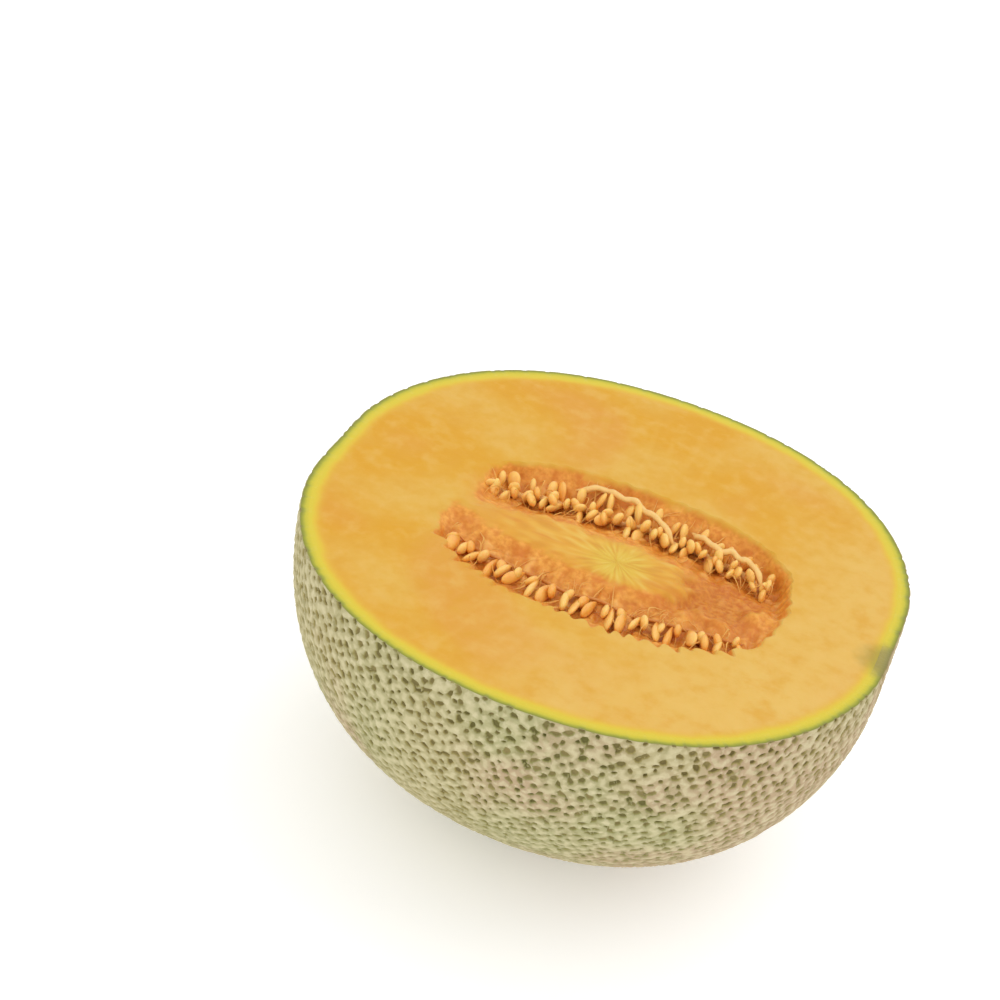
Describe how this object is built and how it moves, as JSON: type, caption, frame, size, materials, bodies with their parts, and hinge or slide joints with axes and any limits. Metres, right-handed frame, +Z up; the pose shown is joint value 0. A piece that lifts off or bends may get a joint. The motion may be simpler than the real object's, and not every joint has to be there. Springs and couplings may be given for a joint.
{
  "type": "cantaloupe melon half",
  "caption": "Half of a round netted cantaloupe melon, cut lengthwise: corky netted rind, orange flesh, and a pulp-filled cavity with rows of seeds. Rests on a small flat spot.",
  "frame": {"origin": "middle of the small flat spot the half rests on, straight below the middle of the fruit", "axes": "+Z up out of the cut face; +X along the fruit's axis towards the stem end"},
  "size_m": [0.1468, 0.1497, 0.0774],
  "materials": {
    "rind": "dry cork net over olive-green skin",
    "flesh": "moist cut orange flesh",
    "pulp": "wet fibrous deep-orange pulp",
    "seeds": "wet cream seeds"
  },
  "bodies": {
    "root": {"rind": "rind", "flesh": "flesh", "pulp": "pulp", "seeds_far_row": "seeds", "seeds_near_row": "seeds"}
  },
  "joints": []
}
